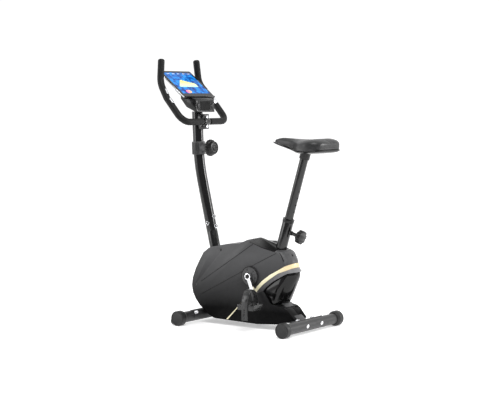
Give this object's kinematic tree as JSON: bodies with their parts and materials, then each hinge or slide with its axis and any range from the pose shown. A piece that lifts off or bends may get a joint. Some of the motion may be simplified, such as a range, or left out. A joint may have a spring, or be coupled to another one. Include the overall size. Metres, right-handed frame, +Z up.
{
  "type": "upright exercise bike",
  "caption": "Upright magnetic exercise bike with padded height-adjustable seat, multi-grip handlebar, tablet ledge, enclosed drive housing, strapped pedals and two cross feet.",
  "frame": {"origin": "on the floor, at the middle of the bounding box's footprint", "axes": "+Z up; -Y forward, the way the rider faces; +X the rider's left"},
  "size_m": [0.46, 0.8834, 1.2249],
  "materials": {
    "frame_paint": "satin black",
    "cap_plastic": "matte black",
    "bright_steel": "polished",
    "steel": "turned",
    "chrome_arm": "polished",
    "housing_plastic": "matte dark grey",
    "gloss_cover": "gloss black",
    "gold_trim": "pale gold",
    "pedal_plastic": "matte",
    "strap_rubber": "matte",
    "belt_rubber": "matte",
    "flywheel_iron": "turned",
    "sleeve_plastic": "ribbed",
    "grip_foam": "foam",
    "screen_glass": "gloss",
    "tablet_glass": "gloss",
    "seat_cover": "grained black"
  },
  "bodies": {
    "frame": {"front_frame_tube": "frame_paint", "lower_beam": "frame_paint", "rear_leg": "frame_paint", "seat_tube": "frame_paint", "bottom_bracket_shell": "frame_paint", "front_saddle": "frame_paint", "rear_saddle": "frame_paint", "front_stabiliser": "frame_paint", "rear_stabiliser": "frame_paint", "front_end_caps": "cap_plastic", "rear_end_caps": "cap_plastic", "transport_pins": "bright_steel", "stabiliser_bolts": "bright_steel", "stabiliser_nuts": "bright_steel", "housing_left": "housing_plastic", "housing_right": "housing_plastic", "tail_cover": "gloss_cover", "accent_strip": "gold_trim", "rear_panel": "housing_plastic", "top_cover": "gloss_cover", "housing_screws": "bright_steel", "drive_belt": "belt_rubber", "flywheel_bracket": "frame_paint", "handlebar_post": "frame_paint", "post_bolts": "bright_steel", "post_sleeve": "sleeve_plastic", "clamp_bracket": "frame_paint", "clamp_cap": "frame_paint", "clamp_bolts": "bright_steel", "console_body": "cap_plastic", "console_lens": "screen_glass", "seat_collar": "cap_plastic"},
    "handlebar": {"handlebar": "frame_paint", "foam_grips": "grip_foam", "pulse_sensors": "bright_steel"},
    "tablet": {"tablet": "tablet_glass"},
    "console_button_left": {"console_button_left": "strap_rubber"},
    "console_button_right": {"console_button_right": "strap_rubber"},
    "tension_knob": {"tension_knob": "cap_plastic"},
    "seat": {"seat_post": "frame_paint", "seat_base": "cap_plastic", "seat_cushion": "seat_cover"},
    "pop_pin": {"pop_pin_knob": "cap_plastic"},
    "transport_wheel_left": {"transport_wheel_left": "cap_plastic"},
    "transport_wheel_right": {"transport_wheel_right": "cap_plastic"},
    "crank": {"crank_discs": "housing_plastic", "crank_spindle": "steel", "crank_arm_left": "chrome_arm", "crank_arm_right": "chrome_arm", "pedal_spindles": "steel", "drive_pulley": "pedal_plastic"},
    "pedal_left": {"pedal_left": "pedal_plastic", "pedal_strap_left": "strap_rubber"},
    "pedal_right": {"pedal_right": "pedal_plastic", "pedal_strap_right": "strap_rubber"},
    "flywheel": {"flywheel": "flywheel_iron", "flywheel_axle": "steel"},
    "magnet_arm": {"magnet_arm": "steel"},
    "idler_arm": {"idler_arm": "steel"},
    "idler_roller": {"idler_roller": "pedal_plastic"}
  },
  "joints": [
    {"name": "crank_spin", "type": "hinge", "parent": "frame", "child": "crank", "pos_m": [0, 0.0597, 0.238], "axis": [1, 0, 0], "continuous": true},
    {"name": "pedal_left_spin", "type": "hinge", "parent": "crank", "child": "pedal_left", "pos_m": [0.165, 0.12235, 0.11504], "axis": [1, 0, 0], "continuous": true},
    {"name": "pedal_right_spin", "type": "hinge", "parent": "crank", "child": "pedal_right", "pos_m": [-0.165, -0.00295, 0.36096], "axis": [1, 0, 0], "continuous": true},
    {"name": "flywheel_spin", "type": "hinge", "parent": "frame", "child": "flywheel", "pos_m": [0, -0.1213, 0.225], "axis": [1, 0, 0], "continuous": true},
    {"name": "tension_knob_turn", "type": "hinge", "parent": "frame", "child": "tension_knob", "pos_m": [0, -0.22391, 0.811], "axis": [0, 1, 0], "range_deg": [0, 300]},
    {"name": "magnet_arm_swing", "type": "hinge", "parent": "frame", "child": "magnet_arm", "pos_m": [0.034, -0.0883, 0.101], "axis": [-1, 0, 0], "range_deg": [0, 6]},
    {"name": "idler_swing", "type": "hinge", "parent": "frame", "child": "idler_arm", "pos_m": [-0.032, -0.0113, 0.15], "axis": [1, 0, 0], "range_deg": [0, 12], "stiffness_Nm_per_rad": 2, "springref_deg": -2.86},
    {"name": "idler_roller_spin", "type": "hinge", "parent": "idler_arm", "child": "idler_roller", "pos_m": [-0.04, -0.05056, 0.16905], "axis": [1, 0, 0], "continuous": true},
    {"name": "handlebar_tilt", "type": "hinge", "parent": "frame", "child": "handlebar", "pos_m": [0, -0.2523, 0.933], "axis": [1, 0, 0], "range_deg": [-10, 10]},
    {"name": "tablet_lift", "type": "slide", "parent": "frame", "child": "tablet", "axis": [0, -0.7826, 0.6225], "range_m": [0, 0.2]},
    {"name": "console_button_left_press", "type": "slide", "parent": "frame", "child": "console_button_left", "axis": [0, -1, 0], "range_m": [0, 0.002], "stiffness_N_per_m": 600},
    {"name": "console_button_right_press", "type": "slide", "parent": "frame", "child": "console_button_right", "axis": [0, -1, 0], "range_m": [0, 0.002], "stiffness_N_per_m": 600},
    {"name": "seat_height", "type": "slide", "parent": "frame", "child": "seat", "axis": [0, 0.2874, 0.9578], "range_m": [-0.192, 0.032]},
    {"name": "pop_pin_pull", "type": "slide", "parent": "frame", "child": "pop_pin", "axis": [0, 0.9578, -0.2874], "range_m": [0, 0.012], "stiffness_N_per_m": 900, "springref_m": -0.002},
    {"name": "transport_wheel_left_spin", "type": "hinge", "parent": "frame", "child": "transport_wheel_left", "pos_m": [0.215, -0.2713, 0.02], "axis": [1, 0, 0], "continuous": true},
    {"name": "transport_wheel_right_spin", "type": "hinge", "parent": "frame", "child": "transport_wheel_right", "pos_m": [-0.215, -0.2713, 0.02], "axis": [1, 0, 0], "continuous": true}
  ],
  "couplings": [
    {"joint": "flywheel_spin", "follows": "crank_spin", "ratio": 4.4359},
    {"joint": "magnet_arm_swing", "follows": "tension_knob_turn", "ratio": 0.02}
  ]
}
